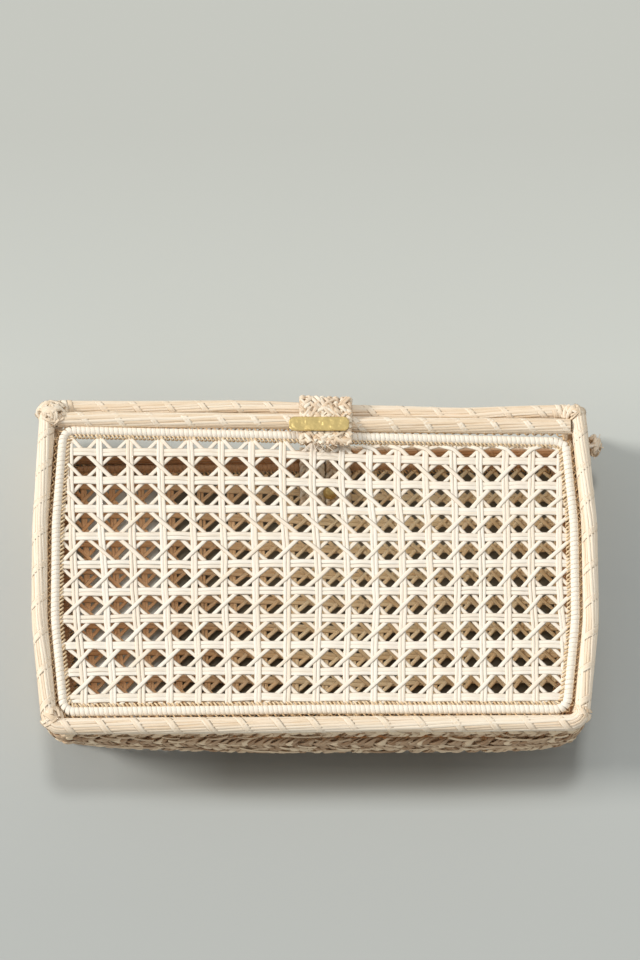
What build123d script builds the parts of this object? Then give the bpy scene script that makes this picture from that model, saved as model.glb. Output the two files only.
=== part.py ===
from build123d import *
import os
from math import cos, radians, tan

# Straw clutch: two caned panels framed by straw rolls, joined by a plaited gusset.
# The bag lies on its back. X is its width, Y runs from its bottom to its open mouth, and Z runs
# from its back to its front. All sizes are in millimetres.

# The bag as a whole
bag_width = 280.0
bag_height = 164.0
bag_depth = 60.0
side_bow = 4.5
bow_y = 24.0
roll_facets = 3
rod_facets = 2

# Rolls of straw that frame the two panels
roll_dia = 8.0
roll_corner = 6.0
roll_straws = 12

# Wrapped rods inside the rolls
rod_dia = 4.8
rod_corner = 5.5
rod_wraps = 10
rod_gap_side = 1.4
rod_gap_end = 0.5

# Open cane work inside the rods
cane_gap = 0.15
cane_core = 0.9
cane_ridge = 0.4
cane_corner = 3.5
front_cane_rise = 0.6
mesh_across = 14.3
mesh_up = 14.0
mesh_drop = 2.1
hole_across = 10.9
hole_up = 9.2
ridge_width = 2.8
blind_depth = 0.5

# Plaits that make the gusset, sewn edge to edge
plait_rows = 4
plait_thickness = 3.6
plait_out = 0.8
plait_belly = 1.6
plait_lift = 1.2
plait_pitch = 12.0

# Roll that edges the mouth, along the front and the gusset's ends
rim_dia = 7.5
rim_up = 7.5
rim_back = 4.0
rim_corner = 8.0
rim_leg_inset = 0.5
seat_gap = 0.2

# Curled end at the mouth's right-hand side
knot_dia = 11.8
knot_thickness = 4.6
knot_sides = 10
knot_stem = 3.8
knot_z = 30.0
knot_down = 3.5

# Closing strap, its root inside the back panel and its stud
strap_x = 4.7
strap_width = 26.5
strap_thickness = 3.0
strap_gap = 0.35
strap_reach = 13.0
strap_bend = 7.0
hinge_out = 5.0
hinge_gap = 0.25
root_length = 34.0
root_thickness = 2.6
stud_x = 7.3
stud_from_end = 8.25
stud_dia = 7.5
stud_height = 2.6
post_dia = 2.0
post_gap = 0.1
washer_size = 7.0
washer_thickness = 0.8

# Brass bar on the strap and the two magnets that hold it shut
bar_x = 1.5
bar_down = 3.8
bar_length = 30.0
bar_width = 7.2
bar_thickness = 1.6
bar_round = 2.8
bar_edge = 0.5
prong_width = 3.0
prong_thickness = 0.8
prong_length = 2.0
prong_spacing = 16.0
prong_shift = 2.0
magnet_length = 11.0
magnet_width = 4.0
strap_magnet_thickness = 1.2
roll_magnet_thickness = 3.0
magnet_gap = 0.1

# Places that follow from the sizes above
roll_r = roll_dia / 2
rod_r = rod_dia / 2
rim_r = rim_dia / 2
back_z = roll_r
front_z = bag_depth - roll_r
side_x_mid = bag_width / 2 - roll_r
run_y = bag_height / 2 - roll_r
rod_inset = roll_r + rod_gap_side + rod_r
rod_y = run_y - roll_r - rod_gap_end - rod_r
cane_inset = rod_inset + rod_r + cane_gap
cane_y = rod_y - rod_r - cane_gap
hinge_y = run_y + hinge_out
knot_y = run_y - knot_down
rim_y = run_y + rim_up
rim_z = front_z - rim_back
side_top = rim_y - rim_r - seat_gap
plait_low = back_z + roll_r
plait_height = (front_z - roll_r - plait_low) / plait_rows
strap_z = front_z + roll_r + strap_gap + strap_thickness / 2
strap_top_y = rim_y + rim_r + strap_gap + strap_thickness / 2
root_z = back_z + roll_r + strap_gap + root_thickness / 2
root_cane_z = back_z + cane_core / 2 + cane_ridge + strap_gap + root_thickness / 2
root_start_y = hinge_y - strap_thickness / 2 - hinge_gap
root_end_y = root_start_y - root_length
stud_y = root_end_y + stud_from_end
bar_y = run_y - bar_down
bar_z = strap_z + strap_thickness / 2
prong_middle = bar_x + prong_shift
prong_places = (prong_middle - prong_spacing / 2, prong_middle + prong_spacing / 2)


def side_x(y, inset=0.0):
    """Half width between the sides at height y, moved inwards by inset."""
    lean = side_bow / (run_y - bow_y)
    return side_x_mid - inset - lean * max(0.0, abs(y) - bow_y)


def side_points(levels, inset):
    """Points up the right side at the given heights, moved inwards by inset."""
    return [Vector(side_x(level, inset), level) for level in levels]


def on_the_left(points):
    """The same points down the left side."""
    return [Vector(-point.X, point.Y) for point in reversed(points)]


def bend(before, corner, after, radius, facets):
    """Points that lead a path round a corner in short straight lengths."""
    into = (corner - before).normalized()
    out = (after - corner).normalized()
    turn = into.get_angle(out)
    half = radians(turn) / 2
    centre = corner + (out - into).normalized() * (radius / cos(half))
    start = corner - into * (radius * tan(half)) - centre
    axis = Axis((0, 0, 0), into.cross(out))
    reach = 1 / cos(half / facets)
    angles = [turn * (step + 0.5) / facets for step in range(facets)]
    return [centre + start.rotate(axis, angle) * reach for angle in angles]


def ring_points(inset, y, radius):
    """Closed outline with bowed sides, inset from the side rolls, between -y and y."""
    right = side_points((-y, -bow_y, bow_y, y), inset)
    left = on_the_left(right)
    low = bend(left[-1], right[0], right[1], radius, rod_facets)
    high = bend(right[2], right[3], left[0], radius, rod_facets)
    right = low + right[1:3] + high
    return right + on_the_left(right)


def u_points(inset, y_end, radius):
    """Path down the left side, along the bottom and up the right side, inset from the rolls."""
    right = side_points((-run_y + inset, -bow_y, bow_y, y_end), inset)
    left = on_the_left(right)
    right = bend(left[-1], right[0], right[1], radius, roll_facets) + right[1:]
    return on_the_left(right) + right


def round_bar(points, diameter, straws, side_way=(0, 0, 1), closed=False):
    """Bar of straws lying side by side, through the given points and mitred where it turns."""
    path = Polyline(*points, close=closed)
    plane = Plane(origin=path @ 0, x_dir=side_way, z_dir=path % 0)
    section = RegularPolygon(diameter / 2, straws, major_radius=False, rotation=180 / straws)
    return sweep(plane * section, path=path, transition=Transition.RIGHT)


def flat_strip(points, width, thickness, x):
    """Flat strip through the given points in the YZ plane, mitred where it turns."""
    path = Polyline(*points)
    plane = Plane(origin=path @ 0, x_dir=(1, 0, 0), z_dir=path % 0)
    section = plane * Rectangle(width, thickness)
    return Pos(x, 0, 0) * sweep(section, path=path, transition=Transition.RIGHT)


def lift_to(shape, z):
    """The shape moved to the height z."""
    return Pos(0, 0, z) * shape


def frame_roll(z):
    """Roll round three sides of a panel, open at the top."""
    return lift_to(round_bar(u_points(0, side_top, roll_corner), roll_dia, roll_straws), z)


def top_roll(z):
    """Straight roll between the upper ends of the side rolls."""
    end_x = side_x(side_top) - roll_r - seat_gap
    ends = [Vector(-end_x, run_y), Vector(end_x, run_y)]
    return lift_to(round_bar(ends, roll_dia, roll_straws), z)


def inner_rod(z):
    """Wrapped rod that the cane work is laced to."""
    points = [Vector(0, -rod_y)] + ring_points(rod_inset, rod_y, rod_corner)
    return lift_to(round_bar(points, rod_dia, rod_wraps, closed=True), z)


# Whole columns and rows of gaps that the cane work has room for
mesh_columns = int((2 * side_x(cane_y, cane_inset) + ridge_width) / mesh_across)
mesh_rows = int(2 * (cane_y - mesh_drop) / mesh_up)


def diamonds(rows):
    """Outlines of the diamond gaps in the given rows, counted from the lowest row."""
    half_x, half_y = hole_across / 2, hole_up / 2
    outlines = []
    for row in rows:
        y = (row - (mesh_rows - 1) / 2) * mesh_up - mesh_drop
        for column in range(mesh_columns):
            x = (column - (mesh_columns - 1) / 2) * mesh_across
            corners = [(x + half_x, y), (x, y + half_y), (x - half_x, y), (x, y - half_y)]
            outlines.append(Wire.make_polygon(corners))
    return outlines


def ridges(outline, count, step, shift, upright):
    """Bands across the cane work, upright or level, cut to its outline."""
    bands = []
    for line in range(count + 1):
        place = (line - count / 2) * step - shift
        if upright:
            bands.append(Pos(place, 0) * Rectangle(ridge_width, bag_height))
        else:
            bands.append(Pos(0, place) * Rectangle(bag_width, ridge_width))
    return [outline & band for band in bands]


def cane_panel(z, outward):
    """Cane work as one pierced sheet, with upright ridges outside and level ridges inside."""
    rim = Wire.make_polygon(ring_points(cane_inset, cane_y, cane_corner))
    sheet = extrude(Face(rim, diamonds(range(1, mesh_rows - 1))), cane_core)
    outline = Face(rim)
    uprights = ridges(outline, mesh_columns, mesh_across, 0, True)
    sheet += [Pos(0, 0, cane_core) * extrude(face, cane_ridge) for face in uprights]
    if outward:
        blind = [Face(wire) for wire in diamonds((0, mesh_rows - 1))]
        sheet -= [Pos(0, 0, cane_core - blind_depth) * extrude(face, cane_core) for face in blind]
        levels = ridges(outline, mesh_rows, mesh_up, mesh_drop, False)
        sheet += [extrude(face, -cane_ridge) for face in levels]
    sheet = Pos(0, 0, -cane_core / 2) * sheet
    if not outward:
        sheet = Rot(0, 180, 0) * sheet
    return lift_to(sheet, z)


def plait(row):
    """One plait of the gusset: a U-shaped band with a row of lumps along its outer face."""
    belly = plait_belly if 0 < row < plait_rows - 1 else 0.0
    outer = plait_out + belly + plait_thickness / 2
    inner = plait_out + belly - plait_thickness / 2
    path = Polyline(*u_points(-outer, side_top, roll_corner + outer))
    steps = 2 * round(path.length / plait_pitch)
    lumps = []
    for step in range(steps + 1):
        place = path @ (step / steps)
        along = (path % (step / steps)) * plait_lift * ((step + row) % 2)
        lumps.append(Vector(place.X + along.Y, place.Y - along.X))
    inside = u_points(-inner, side_top, roll_corner + inner)
    face = Face(Wire.make_polygon(lumps + inside[::-1]))
    band = extrude(face, plait_height, dir=(0, 0, 1))
    return lift_to(band, plait_low + row * plait_height)


def mouth_rim():
    """Roll along the front of the mouth, bent down over both ends of the gusset."""
    leg_x = side_x(side_top) - rim_leg_inset
    foot = Vector(leg_x, rim_y, back_z + roll_r + seat_gap)
    right_corner = Vector(leg_x, rim_y, rim_z)
    left_corner = Vector(-leg_x, rim_y, rim_z)
    right = bend(left_corner, right_corner, foot, rim_corner, roll_facets) + [foot]
    left = [Vector(-point.X, point.Y, point.Z) for point in reversed(right)]
    return round_bar(left + right, rim_dia, roll_straws, side_way=(0, 1, 0))


def turned(profile, x, y, z):
    """Round piece from its half profile of (radius, height) points, standing along Z."""
    face = make_face(Polyline(*[(radius, 0, height) for radius, height in profile], close=True))
    return Pos(x, y, z) * revolve(face, Axis.Z)


def side_knot():
    """Curled end on a short stem, against the gusset's outer face."""
    face = side_x(knot_y, -(plait_out + plait_belly + plait_thickness / 2 + plait_lift))
    stem = extrude(RegularPolygon(knot_dia / 5, knot_sides), knot_stem)
    curl = extrude(RegularPolygon(knot_dia / 2, knot_sides), knot_thickness)
    curl = chamfer(curl.faces().filter_by(Axis.Z).edges(), knot_thickness / 3)
    knot = stem + Pos(0, 0, knot_stem) * curl
    return Pos(face + seat_gap, knot_y, knot_z) * Rot(0, 90, 0) * knot


def block(x, y, low_z, high_z, length, width):
    """Upright box between two heights."""
    return Pos(x, y, (low_z + high_z) / 2) * Box(length, width, high_z - low_z)


def pin(x, y, low_z, high_z, diameter):
    """Upright round pin between two heights."""
    return Pos(x, y, (low_z + high_z) / 2) * Cylinder(diameter / 2, high_z - low_z)


def top_roll_with_pocket():
    """Front top roll, with the slot on its inner side that takes the roll's magnet."""
    low_z = front_z - roll_r
    high_z = low_z + roll_magnet_thickness + magnet_gap
    pocket = block(strap_x, run_y, low_z, high_z, magnet_length + magnet_gap, magnet_width + magnet_gap)
    return top_roll(front_z) - pocket


def roll_magnet():
    """Magnet in the slot of the front's top roll."""
    low_z = front_z - roll_r + magnet_gap / 2
    high_z = low_z + roll_magnet_thickness
    return block(strap_x, run_y, low_z, high_z, magnet_length, magnet_width)


def strap_root():
    """End of the strap that is fixed inside the back panel."""
    points = [
        Vector(0, root_start_y, root_z),
        Vector(0, run_y - roll_r / 2, root_z),
        Vector(0, rod_y - rod_dia, root_cane_z),
        Vector(0, root_end_y, root_cane_z),
    ]
    root = flat_strip(points, strap_width, root_thickness, strap_x)
    return root - pin(stud_x, stud_y, 0, front_z, post_dia + post_gap)


def closure_strap():
    """Strap from the back's top roll, over the rim and on to the front's top roll."""
    hinge = Vector(0, hinge_y, root_z)
    shoulder = Vector(0, strap_top_y, rim_z)
    top = Vector(0, strap_top_y, strap_z)
    end = Vector(0, run_y - strap_reach, strap_z)
    points = [hinge, shoulder] + bend(shoulder, top, end, strap_bend, roll_facets) + [end]
    strap = flat_strip(points, strap_width, strap_thickness, strap_x)
    knuckle = Rot(0, 90, 0) * Cylinder(strap_thickness / 2, strap_width)
    strap += Pos(strap_x, hinge_y, root_z) * knuckle
    low_z = strap_z - strap_thickness / 2
    high_z = low_z + strap_magnet_thickness + magnet_gap
    strap -= block(strap_x, run_y, low_z, high_z, magnet_length + magnet_gap, magnet_width + magnet_gap)
    low_z = bar_z - prong_length - magnet_gap
    for x in prong_places:
        strap -= block(x, bar_y, low_z, bar_z, prong_thickness + magnet_gap, prong_width + magnet_gap)
    return strap


def strap_magnet():
    """Magnet in the underside of the strap."""
    low_z = strap_z - strap_thickness / 2 + magnet_gap / 2
    return block(strap_x, run_y, low_z, low_z + strap_magnet_thickness, magnet_length, magnet_width)


def brass_bar():
    """Plain brass bar with rounded ends and two prongs that grip the strap."""
    plate = extrude(RectangleRounded(bar_length, bar_width, bar_round), bar_thickness)
    plate = chamfer(plate.faces().sort_by(Axis.Z)[-1].edges(), bar_edge)
    bar = Pos(bar_x, bar_y, bar_z) * plate
    for x in prong_places:
        bar += block(x, bar_y, bar_z - prong_length, bar_z + bar_edge, prong_thickness, prong_width)
    return bar


def anchor_stud():
    """Domed stud and its post, through the strap's root and the back's cane work."""
    low_z = back_z - cane_core / 2 - cane_ridge - washer_thickness
    high_z = root_cane_z + root_thickness / 2
    profile = [
        (0, low_z),
        (post_dia / 2, low_z),
        (post_dia / 2, high_z),
        (stud_dia / 2, high_z),
        (stud_dia / 3, high_z + stud_height),
        (0, high_z + stud_height),
    ]
    return turned(profile, stud_x, stud_y, 0)


def stud_washer():
    """Washer behind the back's cane work, on the stud's post."""
    high_z = back_z - cane_core / 2 - cane_ridge
    low_z = high_z - washer_thickness
    washer = block(stud_x, stud_y, low_z, high_z, washer_size, washer_size)
    return washer - pin(stud_x, stud_y, 0, front_z, post_dia + post_gap)


parts = {}
parts["front_frame_roll"] = frame_roll(front_z)
parts["front_top_roll"] = top_roll_with_pocket()
parts["front_inner_rod"] = inner_rod(front_z)
parts["front_cane_panel"] = cane_panel(front_z + front_cane_rise, True)
parts["back_frame_roll"] = frame_roll(back_z)
parts["back_top_roll"] = top_roll(back_z)
parts["back_inner_rod"] = inner_rod(back_z)
pierced = pin(stud_x, stud_y, -front_z, front_z, post_dia + post_gap)
parts["back_cane_panel"] = cane_panel(back_z, False) - pierced
for row in range(plait_rows):
    parts[f"gusset_plait_{row + 1}"] = plait(row)
parts["mouth_rim_roll"] = mouth_rim()
parts["side_knot"] = side_knot()
parts["strap_root"] = strap_root()
parts["anchor_stud"] = anchor_stud()
parts["stud_washer"] = stud_washer()
parts["roll_magnet"] = roll_magnet()
parts["closure_strap"] = closure_strap()
parts["strap_magnet"] = strap_magnet()
parts["brass_bar"] = brass_bar()

# The origin is the middle of the whole bag's box, at the surface that it rests on
boxes = [shape.bounding_box() for shape in parts.values()]
low = [min(tuple(box.min)[axis] for box in boxes) for axis in range(3)]
high = [max(tuple(box.max)[axis] for box in boxes) for axis in range(3)]
origin = Pos(-(low[0] + high[0]) / 2, -(low[1] + high[1]) / 2, -low[2])
os.makedirs("parts", exist_ok=True)
for name, shape in parts.items():
    export_step(origin * shape, f"parts/{name}.step")
print("origin moved by", tuple(origin.position))
print("size", [high[axis] - low[axis] for axis in range(3)])
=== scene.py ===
import math
import random

import bpy
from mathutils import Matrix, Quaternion, Vector, noise


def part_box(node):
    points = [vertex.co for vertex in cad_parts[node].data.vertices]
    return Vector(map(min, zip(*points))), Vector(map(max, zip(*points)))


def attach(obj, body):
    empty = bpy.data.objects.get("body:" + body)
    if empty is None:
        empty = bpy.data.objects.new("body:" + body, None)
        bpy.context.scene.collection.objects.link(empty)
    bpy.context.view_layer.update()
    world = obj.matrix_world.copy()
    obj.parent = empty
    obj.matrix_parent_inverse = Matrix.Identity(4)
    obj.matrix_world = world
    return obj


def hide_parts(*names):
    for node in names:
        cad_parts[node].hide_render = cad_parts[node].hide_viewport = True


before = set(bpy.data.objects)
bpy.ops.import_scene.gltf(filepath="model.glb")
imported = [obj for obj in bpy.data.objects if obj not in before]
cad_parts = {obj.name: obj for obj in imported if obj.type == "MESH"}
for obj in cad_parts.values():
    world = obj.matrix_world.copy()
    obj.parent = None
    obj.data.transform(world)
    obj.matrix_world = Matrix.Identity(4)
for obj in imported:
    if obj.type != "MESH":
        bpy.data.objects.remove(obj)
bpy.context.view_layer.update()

MM = 0.001
NOISE_SEED = 58

# The vector noise takes its seed from the clock unless it is given one
noise.seed_set(NOISE_SEED)

# The bag's own measures, in millimetres from the middle of its panels
top_roll_low, top_roll_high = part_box("front_top_roll")
roll_low, roll_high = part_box("front_frame_roll")
back_low, back_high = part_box("back_frame_roll")
rim_low, rim_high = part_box("mouth_rim_roll")
strap_low, strap_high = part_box("closure_strap")
knot_low, knot_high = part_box("side_knot")
ROLL_R = (roll_high.z - roll_low.z) / 2 / MM
TOP_Y = (top_roll_low.y + top_roll_high.y) / 2
BOTTOM_Y = roll_low.y + ROLL_R * MM
CENTRE = Vector(((roll_low.x + roll_high.x) / 2, (TOP_Y + BOTTOM_Y) / 2, 0))
RUN_Y = (TOP_Y - BOTTOM_Y) / 2 / MM
SIDE_X = (roll_high.x - roll_low.x) / 2 / MM - ROLL_R
FRONT_Z = (roll_low.z + roll_high.z) / 2 / MM
BACK_Z = (back_low.z + back_high.z) / 2 / MM
SIDE_TOP = roll_high.y / MM - CENTRE.y / MM
RIM_R = (rim_high.y - rim_low.y) / 2 / MM
RIM_Y = (rim_low.y + rim_high.y) / 2 / MM - CENTRE.y / MM
RIM_Z = rim_high.z / MM - RIM_R

# Measures that no box gives: how the sides bow, and where rod and cane lie inside the roll
SIDE_BOW = 4.5
BOW_Y = 24.0
ROLL_CORNER = 6.0
ROD_R = 2.4
ROD_INSET = 7.8
ROD_Y = RUN_Y - 6.9
ROD_CORNER = 5.5
CANE_INSET = 10.35
CANE_Y = RUN_Y - 9.45
CANE_CORNER = 3.5
FRONT_CANE_Z = FRONT_Z + 0.6
SOFT_BEND = 150
UP = (0, 0, 1)
TOWARDS_MOUTH = (0, 1, 0)
ACROSS = (1, 0, 0)


# Node trees


def add(tree, kind, *values, **settings):
    """A new node with its settings, and its open sockets filled in order."""
    node = tree.nodes.new(kind)
    for name, value in settings.items():
        setattr(node, name, value)
    for socket, value in zip([s for s in node.inputs if s.enabled], values):
        if isinstance(value, bpy.types.NodeSocket):
            tree.links.new(value, socket)
        else:
            socket.default_value = value
    return node


def result(node):
    """The output of a node that is in use."""
    return next(s for s in node.outputs if s.enabled)


def calc(tree, operation, *values):
    """Result of a Math node."""
    return add(tree, "ShaderNodeMath", *values, operation=operation).outputs[0]


def product(tree, first, *others):
    """Product of several numbers."""
    for other in others:
        first = calc(tree, "MULTIPLY", first, other)
    return first


def ramp(tree, value, low, high, at_low=0.0, at_high=1.0):
    """A number that goes from one value to another between two places, and stays level outside."""
    return add(tree, "ShaderNodeMapRange", value, low, high, at_low, at_high).outputs[0]


def blend(tree, share, first, second, how="MIX"):
    """Two colours mixed by a share."""
    return result(add(tree, "ShaderNodeMix", share, first, second, data_type="RGBA", blend_type=how))


def vector(tree, operation, *values):
    """Result of a Vector Math node."""
    return result(add(tree, "ShaderNodeVectorMath", *values, operation=operation))


def scaled(tree, direction, length):
    """A direction times a length."""
    node = tree.nodes.new("ShaderNodeVectorMath")
    node.operation = "SCALE"
    tree.links.new(direction, node.inputs[0])
    tree.links.new(length, node.inputs["Scale"])
    return node.outputs[0]


def store(tree, geometry, name, value, domain="POINT"):
    """The geometry with a named number on it."""
    node = add(tree, "GeometryNodeStoreNamedAttribute", domain=domain, data_type="FLOAT")
    tree.links.new(geometry, node.inputs["Geometry"])
    node.inputs["Name"].default_value = name
    tree.links.new(value, node.inputs["Value"])
    return node.outputs[0]


def new_tree(name, inputs):
    """A Geometry Nodes tree with named inputs, and its input node."""
    tree = bpy.data.node_groups.new(name, "GeometryNodeTree")
    tree.interface.new_socket("Geometry", in_out="INPUT", socket_type="NodeSocketGeometry")
    tree.interface.new_socket("Geometry", in_out="OUTPUT", socket_type="NodeSocketGeometry")
    for label, kind, value in inputs:
        socket = tree.interface.new_socket(label, in_out="INPUT", socket_type="NodeSocket" + kind)
        if value is not None:
            socket.default_value = value
    return tree, tree.nodes.new("NodeGroupInput").outputs


def random_number(tree, low, high, seed):
    """One random number for each curve."""
    node = add(tree, "FunctionNodeRandomValue", low, high, data_type="FLOAT")
    tree.links.new(add(tree, "GeometryNodeInputIndex").outputs[0], node.inputs["ID"])
    tree.links.new(seed, node.inputs["Seed"])
    return node.outputs["Value"]


def sweep(tree, given, curve):
    """Last part of each tree: sweeps a flat oval along the curve and gives it its finish."""
    curve = store(tree, curve, "tint", random_number(tree, 0.0, 1.0, given["Seed"]), "CURVE")
    length = add(tree, "GeometryNodeSplineParameter").outputs["Length"]
    curve = store(tree, curve, "along", length)
    ring = add(tree, "GeometryNodeCurvePrimitiveCircle", mode="RADIUS")
    tree.links.new(given["Profile points"], ring.inputs["Resolution"])
    ring.inputs["Radius"].default_value = 0.5
    half_side = calc(tree, "DIVIDE", math.pi, given["Profile points"])
    level = add(tree, "GeometryNodeTransform")
    tree.links.new(ring.outputs[0], level.inputs["Geometry"])
    turn = add(tree, "ShaderNodeCombineXYZ", 0.0, 0.0, half_side).outputs[0]
    tree.links.new(turn, level.inputs["Rotation"])
    spot = add(tree, "GeometryNodeInputPosition").outputs[0]
    across = calc(tree, "MULTIPLY", add(tree, "ShaderNodeSeparateXYZ", spot).outputs["Y"], 2.0)
    oval = store(tree, level.outputs[0], "across", across)
    size = add(tree, "ShaderNodeCombineXYZ", given["Thickness"], given["Width"], 1.0).outputs[0]
    shaped = add(tree, "GeometryNodeTransform")
    tree.links.new(oval, shaped.inputs["Geometry"])
    tree.links.new(size, shaped.inputs["Scale"])
    low = calc(tree, "SUBTRACT", 1.0, given["Uneven"])
    high = calc(tree, "ADD", 1.0, given["Uneven"])
    own_fatness = random_number(tree, low, high, calc(tree, "ADD", given["Seed"], 7.0))
    curve = store(tree, curve, "fatness", own_fatness, "CURVE")
    fatness, broad = (
        add(tree, "GeometryNodeInputNamedAttribute", name, data_type="FLOAT").outputs[0]
        for name in ("fatness", "broad")
    )
    mesh = add(tree, "GeometryNodeCurveToMesh")
    tree.links.new(curve, mesh.inputs["Curve"])
    tree.links.new(shaped.outputs[0], mesh.inputs["Profile Curve"])
    tree.links.new(product(tree, fatness, broad), mesh.inputs["Scale"])
    mesh.inputs["Fill Caps"].default_value = True
    whole = add(tree, "GeometryNodeRealizeInstances", mesh.outputs[0]).outputs[0]
    finished = add(tree, "GeometryNodeSetMaterial")
    tree.links.new(whole, finished.inputs["Geometry"])
    tree.links.new(given["Finish"], finished.inputs["Material"])
    end = tree.nodes.new("NodeGroupOutput")
    tree.links.new(finished.outputs[0], end.inputs[0])


STRIP_INPUTS = [
    ("Width", "Float", 0.002),
    ("Thickness", "Float", 0.0005),
    ("Profile points", "Int", 6),
    ("Uneven", "Float", 0.1),
    ("Seed", "Int", 1),
    ("Finish", "Material", None),
]


def strands_tree():
    """Strands that wind round a path, as a spiral or as a plait."""
    inputs = STRIP_INPUTS + [
        ("Step", "Float", 0.002),
        ("Strands", "Int", 3),
        ("Straws per strand", "Int", 1),
        ("Straw shift", "Float", 0.3),
        ("Turn length", "Float", 0.016),
        ("Spread across", "Float", 0.003),
        ("Spread up", "Float", 0.003),
        ("Depth rate", "Float", 1.0),
        ("Depth phase", "Float", math.pi / 2),
        ("Flat", "Float", 0.0),
        ("Wander", "Float", 0.0),
        ("Wander length", "Float", 0.02),
        ("Start", "Float", 0.0),
        ("Side", "Vector", (0.0, 0.0, 1.0)),
    ]
    tree, given = new_tree("strands along a path", inputs)
    curve = add(tree, "GeometryNodeMeshToCurve", given["Geometry"]).outputs[0]
    resample = add(tree, "GeometryNodeResampleCurve", mode="LENGTH")
    tree.links.new(curve, resample.inputs["Curve"])
    tree.links.new(given["Step"], resample.inputs["Length"])
    amount = calc(tree, "MULTIPLY", given["Strands"], given["Straws per strand"])
    copies = add(tree, "GeometryNodeDuplicateElements", domain="SPLINE")
    tree.links.new(resample.outputs[0], copies.inputs["Geometry"])
    tree.links.new(amount, copies.inputs["Amount"])
    copy = copies.outputs["Duplicate Index"]
    strand = calc(tree, "FLOOR", calc(tree, "DIVIDE", copy, given["Straws per strand"]))
    straw = calc(tree, "SUBTRACT", copy, calc(tree, "MULTIPLY", strand, given["Straws per strand"]))
    length = add(tree, "GeometryNodeSplineParameter").outputs["Length"]
    tangent = add(tree, "GeometryNodeInputTangent").outputs[0]
    outwards = vector(tree, "NORMALIZE", vector(tree, "CROSS_PRODUCT", tangent, given["Side"]))
    turns = calc(tree, "DIVIDE", length, given["Turn length"])
    turns = calc(tree, "ADD", turns, calc(tree, "DIVIDE", strand, given["Strands"]))
    turns = calc(tree, "ADD", turns, calc(tree, "MULTIPLY", straw, given["Straw shift"]))
    turns = calc(tree, "ADD", turns, given["Start"])
    place = calc(tree, "DIVIDE", length, given["Wander length"])
    spot = add(tree, "ShaderNodeCombineXYZ", place, calc(tree, "MULTIPLY", copy, 7.3), given["Seed"])
    rough = add(tree, "ShaderNodeTexNoise", spot.outputs[0], 1.0, 1.0)
    loose = calc(tree, "MULTIPLY", calc(tree, "SUBTRACT", rough.outputs[0], 0.5), given["Wander"])
    angle = calc(tree, "MULTIPLY", calc(tree, "ADD", turns, loose), 2 * math.pi)
    deep = calc(tree, "ADD", calc(tree, "MULTIPLY", angle, given["Depth rate"]), given["Depth phase"])
    part_out = scaled(tree, outwards, calc(tree, "SINE", deep))
    part_up = scaled(tree, given["Side"], calc(tree, "SINE", angle))
    round_face = vector(tree, "ADD", part_out, part_up)
    mixed = add(tree, "ShaderNodeMix", given["Flat"], round_face, outwards, data_type="VECTOR")
    face = vector(tree, "NORMALIZE", result(mixed))
    turned = add(tree, "GeometryNodeSetCurveNormal", mode="FREE")
    tree.links.new(copies.outputs["Geometry"], turned.inputs["Curve"])
    tree.links.new(face, turned.inputs["Normal"])
    aside, above = scaled(tree, part_out, given["Spread across"]), scaled(tree, part_up, given["Spread up"])
    moved = add(tree, "GeometryNodeSetPosition")
    tree.links.new(turned.outputs[0], moved.inputs["Geometry"])
    tree.links.new(vector(tree, "ADD", aside, above), moved.inputs["Offset"])
    sweep(tree, given, moved.outputs[0])
    return tree


def strips_tree():
    """Flat strips that lie along given lines, face up."""
    inputs = STRIP_INPUTS + [("Face", "Vector", (0.0, 0.0, 1.0))]
    tree, given = new_tree("strips along lines", inputs)
    curve = add(tree, "GeometryNodeMeshToCurve", given["Geometry"]).outputs[0]
    turned = add(tree, "GeometryNodeSetCurveNormal", mode="FREE")
    tree.links.new(curve, turned.inputs["Curve"])
    tree.links.new(given["Face"], turned.inputs["Normal"])
    sweep(tree, given, turned.outputs[0])
    return tree


# Paths


def side_x(y, inset=0.0):
    """Half width between the sides at height y, moved inwards by inset."""
    lean = SIDE_BOW / (RUN_Y - BOW_Y)
    return SIDE_X - inset - lean * max(0.0, abs(y) - BOW_Y)


def rounded(corners, radii, step=2.0):
    """Points along a line through the corners, each rounded by its radius."""
    points = []
    for index, (corner, radius) in enumerate(zip(corners, radii)):
        if not radius:
            points.append(corner)
            continue
        into = (corner - corners[index - 1]).normalized()
        out = (corners[index + 1] - corner).normalized()
        half = into.angle(out) / 2
        start = corner - into * radius * math.tan(half)
        centre = corner + (out - into).normalized() * (radius / math.cos(half))
        steps = max(3, round(radius * half * 2 / step))
        axis = into.cross(out).normalized()
        for turn in range(steps + 1):
            arm = start - centre
            arm.rotate(Quaternion(axis, 2 * half * turn / steps))
            points.append(centre + arm)
    return points


def u_path(inset, z, corner, y_end):
    """Path down the left side, along the bottom and up the right side."""
    levels = (-RUN_Y + inset, -BOW_Y, BOW_Y, y_end)
    right = [Vector((side_x(y, inset), y, z)) for y in levels]
    left = [Vector((-p.x, p.y, z)) for p in reversed(right)]
    bends = [SOFT_BEND, SOFT_BEND]
    return rounded(left + right, [0, *bends, corner, corner, *bends, 0])


def ring_path(inset, y, z, corner):
    """Closed path round a panel, from the middle of its bottom."""
    levels = (-y, -BOW_Y, BOW_Y, y)
    right = [Vector((side_x(level, inset), level, z)) for level in levels]
    left = [Vector((-p.x, p.y, z)) for p in reversed(right)]
    start = Vector((0, -y, z))
    bends = [SOFT_BEND, SOFT_BEND]
    return rounded([start] + right + left + [start], [0, corner, *bends, corner, corner, *bends, corner, 0])


def part_of(points, start, end):
    """The stretch of a path between two shares of its length."""
    return points[round(start * (len(points) - 1)):round(end * (len(points) - 1)) + 1]


def dense(points, step):
    """The same path with a point at least every step."""
    path = [points[0]]
    for before, after in zip(points, points[1:]):
        count = max(1, math.ceil((after - before).length / step))
        path += [before.lerp(after, i / count) for i in range(1, count + 1)]
    return path


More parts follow.
